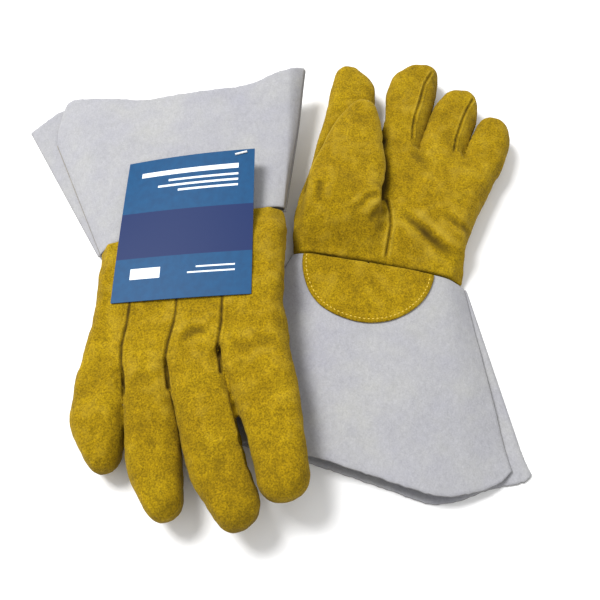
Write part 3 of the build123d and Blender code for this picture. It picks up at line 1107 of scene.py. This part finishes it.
# ---- tag ----
def make_tag(card, barb):
    """Printed card, bent a little to the glove under it."""
    node = frame["nodes"]["tag_card"]
    joint = joint_named("tag_lift")
    across = Vector(joint["axis"]).normalized()
    hand = hand_frame("right")
    normal = hand.col[2].to_3d().normalized()
    along = normal.cross(across).normalized()
    corners = np.array([v.co for v in node.data.vertices], float)
    spans = [(corners @ np.array(v)) for v in (across, along, normal)]
    width, length = np.ptp(spans[0]), np.ptp(spans[1])
    corner = (across * float(spans[0].min()) + along * float(spans[1].min())
              + normal * float(spans[2].max()))
    columns, rows = 40, 48
    points, rest = [], []
    for row in range(rows):
        for column in range(columns):
            u, v = column / (columns - 1), row / (rows - 1)
            bend = -TAG_SAG * (1 - v) ** 2 * u ** 2 + TAG_WAVE * math.sin(math.pi * u)
            place = corner + across * (width * u) + along * (length * v) + normal * bend
            points.append(place)
            rest.append((u, v, 0))
    faces = [(a, a + 1, a + columns + 1, a + columns) for r in range(rows - 1)
             for a in range(r * columns, r * columns + columns - 1)]
    obj = make_object("tag_card_printed", points, faces)
    store(obj, "rest", rest, "FLOAT_VECTOR")
    thicken(obj, 0.5)
    obj.data.materials.append(card)
    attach(obj, "tag")
    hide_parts("tag_card")
    frame["nodes"]["tag_fastener"].data.materials.clear()
    frame["nodes"]["tag_fastener"].data.materials.append(barb)


# ---- materials ----
def srgb(r, g, b):
    """Linear colour from 0-255 screen values."""
    def linear(c):
        c /= 255
        return c / 12.92 if c <= 0.04045 else ((c + 0.055) / 1.055) ** 2.4
    return (linear(r), linear(g), linear(b), 1)


def set_inputs(node, values):
    """Sets a shader node's inputs by name."""
    for name, value in values.items():
        node.inputs[name].default_value = value


class Nodes:
    """Short way to add and link shader nodes."""

    def __init__(self, name):
        self.material = bpy.data.materials.new(name)
        self.material.use_nodes = True
        self.tree = self.material.node_tree
        self.tree.nodes.clear()
        self.output = self.add("ShaderNodeOutputMaterial")
        self.shader = self.add("ShaderNodeBsdfPrincipled")
        self.link(self.shader.outputs[0], self.output.inputs["Surface"])

    def add(self, kind, **settings):
        node = self.tree.nodes.new(kind)
        for key, value in settings.items():
            setattr(node, key, value)
        return node

    def link(self, start, end):
        self.tree.links.new(start, end)

    def rest(self, scale=(1, 1, 1)):
        """The stored rest place, stretched."""
        source = self.add("ShaderNodeAttribute", attribute_name="rest")
        mapping = self.add("ShaderNodeMapping")
        set_inputs(mapping, {"Scale": scale})
        self.link(source.outputs["Vector"], mapping.inputs["Vector"])
        return mapping.outputs[0]

    def noise(self, size, detail=3.0, roughness=0.55, stretch=(1, 1, 1), distortion=0.0):
        """Noise with features of the given size in millimetres."""
        node = self.add("ShaderNodeTexNoise")
        set_inputs(node, {"Scale": 1 / size, "Detail": detail, "Roughness": roughness,
                          "Distortion": distortion})
        self.link(self.rest(stretch), node.inputs["Vector"])
        return node.outputs[0]

    def object_noise(self, scale):
        """Noise for a CAD node or the floor, which have no stored rest place."""
        node = self.add("ShaderNodeTexNoise")
        set_inputs(node, {"Scale": scale, "Detail": 4})
        self.link(self.add("ShaderNodeTexCoord").outputs["Object"], node.inputs["Vector"])
        return node.outputs[0]

    def ramp(self, value, stops):
        """Colour for a value, from (place, colour) stops."""
        node = self.add("ShaderNodeValToRGB")
        while len(node.color_ramp.elements) < len(stops):
            node.color_ramp.elements.new(0.5)
        for element, (place, colour) in zip(node.color_ramp.elements, stops):
            element.position, element.color = place, colour
        self.link(value, node.inputs[0])
        return node.outputs[0]

    def feed(self, socket, value):
        """Links an output to a socket, or sets the socket to a plain value."""
        if hasattr(value, "links"):
            self.link(value, socket)
        else:
            socket.default_value = value

    def mix(self, kind, factor, a, b):
        node = self.add("ShaderNodeMix", data_type="RGBA", blend_type=kind)
        for number, value in ((0, factor), (6, a), (7, b)):
            self.feed(node.inputs[number], value)
        return node.outputs[2]

    def speckle(self, share, base, value, spread, dark, blue):
        """Overlays a colour with a grey noise, from dark to as far above the middle."""
        light = 1 - dark
        grey = self.ramp(value, [(0.5 - spread, (dark, dark, dark, 1)),
                                 (0.5 + spread, (light, light, blue, 1))])
        return self.mix("OVERLAY", share, base, grey)

    def maths(self, operation, a, b):
        node = self.add("ShaderNodeMath", operation=operation)
        self.feed(node.inputs[0], a)
        self.feed(node.inputs[1], b)
        return node.outputs[0]

    def bump(self, height, distance, strength):
        """Surface relief, with its depth in millimetres."""
        node = self.add("ShaderNodeBump")
        set_inputs(node, {"Distance": distance * MM, "Strength": strength})
        self.link(height, node.inputs["Height"])
        self.link(node.outputs[0], self.shader.inputs["Normal"])

    def finish(self, colour, roughness, sheen=0.0, specular=0.3, tint=(1, 1, 1, 1)):
        """Sets the surface and returns the material."""
        self.link(colour, self.shader.inputs["Base Color"])
        set_inputs(self.shader, {"Roughness": roughness, "Specular IOR Level": specular,
                                 "Sheen Weight": sheen, "Sheen Roughness": 0.5,
                                 "Sheen Tint": tint})
        return self.material


def suede_material():
    """Gold split suede: blotches, brushed nap, fine grain, painted highlight and wear on ridges, a
    painted highlight on the thumb's rim, and painted shade in seams, folds and between the fingers.
    """
    n = Nodes("gold_suede")
    blotch = n.noise(26, detail=4, roughness=0.6)
    base = n.ramp(blotch, [(0.25, srgb(129, 103, 6)), (0.5, srgb(141, 114, 8)),
                           (0.75, srgb(153, 126, 12))])
    nap = n.noise(3.6, detail=5, roughness=0.72, stretch=(1, 0.7, 1))
    base = n.speckle(0.45, base, nap, 0.2, 0.30, 0.66)
    grain = n.noise(1.15, detail=3, roughness=0.75)
    base = n.speckle(0.85, base, grain, 0.16, 0.22, 0.70)
    tone = n.add("ShaderNodeAttribute", attribute_name="tone").outputs["Fac"]
    # painted highlight and wear: a positive tone lightens the suede towards pale gold
    light = n.maths("MULTIPLY", tone, 0.55)
    base = n.mix("MIX", n.maths("MAXIMUM", light, 0.0), base, srgb(196, 168, 60))
    # painted shade: a negative tone darkens the suede towards dark brown
    dark = n.maths("MULTIPLY", tone, -0.75)
    base = n.mix("MIX", n.maths("MAXIMUM", dark, 0.0), base, srgb(66, 50, 8))
    height = n.maths("ADD", n.maths("MULTIPLY", nap, 0.6), grain)
    n.bump(height, 0.55, 0.9)
    return n.finish(base, 0.97, sheen=0.12, specular=0.12, tint=srgb(235, 215, 130))


def split_material():
    """Pale grey split leather: faint blotches, a short directionless nap, and painted shade on the
    panels' cut edges.
    """
    n = Nodes("grey_split_leather")
    blotch = n.noise(34, detail=4, roughness=0.6)
    base = n.ramp(blotch, [(0.25, srgb(152, 152, 160)), (0.5, srgb(158, 158, 162)),
                           (0.75, srgb(164, 164, 163))])
    nap = n.noise(2.6, detail=5, roughness=0.72, stretch=(1, 0.6, 1), distortion=0.6)
    base = n.speckle(0.22, base, nap, 0.2, 0.3, 0.7)
    grain = n.noise(1.1, detail=3, roughness=0.75)
    base = n.speckle(0.26, base, grain, 0.2, 0.3, 0.7)
    cut_edge_shade = n.add("ShaderNodeAttribute", attribute_name="cut_edge_shade").outputs["Fac"]
    # painted shade: the cut edges are darkened towards grey-brown
    base = n.mix("MIX", n.maths("MULTIPLY", cut_edge_shade, 0.75), base, srgb(92, 90, 84))
    n.bump(n.maths("ADD", n.maths("MULTIPLY", nap, 0.7), grain), 0.4, 0.7)
    return n.finish(base, 0.95, sheen=0.1, specular=0.12)


# materials of one noise: the noise, its dark and light colours, its relief and the finish
ONE_GRAIN = dict(
    fleece_lining=(dict(size=1.6, detail=4, roughness=0.7), (196, 190, 176), (232, 228, 216),
                   (0.8, 0.8), dict(roughness=1.0, sheen=0.3, specular=0.1)),
    seam_thread=(dict(size=0.6, detail=2, stretch=(2, 0.5, 1)), (196, 158, 40), (246, 218, 104),
                 (0.2, 0.5), dict(roughness=0.6)),
    welt_leather=(dict(size=2.0, detail=3), (120, 116, 106), (158, 152, 138),
                  (0.3, 0.5), dict(roughness=0.8)))


def one_grain_material(name):
    """Off-white pile, yellow twisted thread, or the grey leather of the welts."""
    noise_facts, dark, light, relief, look = ONE_GRAIN[name]
    n = Nodes(name)
    grain = n.noise(**noise_facts)
    base = n.ramp(grain, [(0.3, srgb(*dark)), (0.7, srgb(*light))])
    n.bump(grain, *relief)
    return n.finish(base, **look)


def barb_material():
    """White nylon."""
    n = Nodes("tag_barb")
    grain = n.object_noise(300)
    base = n.ramp(grain, [(0.3, srgb(220, 222, 222)), (0.7, srgb(240, 240, 238))])
    return n.finish(base, 0.3, specular=0.5)


def card_material():
    """Blue card: a darker lower field, plain white bars and a pale frame line."""
    n = Nodes("tag_card")
    split = n.add("ShaderNodeSeparateXYZ")
    n.link(n.rest(), split.inputs[0])
    u, v = split.outputs[0], split.outputs[1]

    def inside(value, low, high):
        above = n.maths("GREATER_THAN", value, low)
        return n.maths("MULTIPLY", above, n.maths("LESS_THAN", value, high))

    def box_mask(u0, u1, v0, v1):
        return n.maths("MULTIPLY", inside(u, u0, u1), inside(v, v0, v1))

    ink = n.noise(0.05, detail=3)
    base = n.ramp(ink, [(0.3, srgb(0, 62, 104)), (0.7, srgb(0, 70, 114))])
    base = n.mix("MIX", box_mask(0.0, 1.0, 0.40, 0.72), base, srgb(6, 34, 84))
    for number, (u0, u1, v0, v1) in enumerate([(0.12, 0.88, 0.10, 0.135), (0.12, 0.66, 0.17, 0.185),
                                               (0.12, 0.74, 0.21, 0.225), (0.12, 0.58, 0.25, 0.265),
                                               (0.12, 0.40, 0.80, 0.81), (0.12, 0.46, 0.835, 0.845),
                                               (0.66, 0.88, 0.79, 0.86)]):
        base = n.mix("MIX", box_mask(u0, u1, v0, v1), base, srgb(226, 234, 240))
    n.bump(n.noise(0.02), 0.05, 0.2)
    return n.finish(base, 0.5, specular=0.16)


# ---- stage ----
def make_stage():
    """Plain pale floor and soft studio light from the far left."""
    bpy.ops.mesh.primitive_plane_add(size=6, location=(0, 0, cad_box[0][2] - 0.0002))
    floor = bpy.context.object
    floor.name = "floor"
    n = Nodes("floor")
    colour = n.ramp(n.object_noise(3), [(0.3, (0.90, 0.90, 0.90, 1)),
                                        (0.7, (0.93, 0.93, 0.93, 1))])
    floor.data.materials.append(n.finish(colour, 0.9, specular=0.1))
    lights = [("key", (-1.4, 0.9, 2.4), 1.1, KEY_LIGHT),
              ("fill", (1.2, -0.8, 2.0), 1.6, FILL_LIGHT)]
    for name, place, size, power in lights:
        data = bpy.data.lights.new(name, "AREA")
        data.size, data.energy = size, power
        light = bpy.data.objects.new(name, data)
        light.location = place
        light.rotation_euler = (-Vector(place)).to_track_quat("-Z", "Y").to_euler()
        bpy.context.scene.collection.objects.link(light)
    world = bpy.data.worlds.new("world")
    world.use_nodes = True
    set_inputs(world.node_tree.nodes["Background"], {"Color": (1, 1, 1, 1), "Strength": SKY})
    bpy.context.scene.world = world
    bpy.context.scene.view_settings.view_transform = "Standard"


def main():
    """Camera, gloves, tag and stage."""
    make_camera()
    suede, split = suede_material(), split_material()
    fleece, thread, welt = (one_grain_material(name) for name in ONE_GRAIN)
    for side in SIDES:
        make_hand(side, suede, fleece)
        make_cuff(side, split, welt)
        make_heel_patch(side, suede, thread)
    make_tag(card_material(), barb_material())
    make_stage()


main()
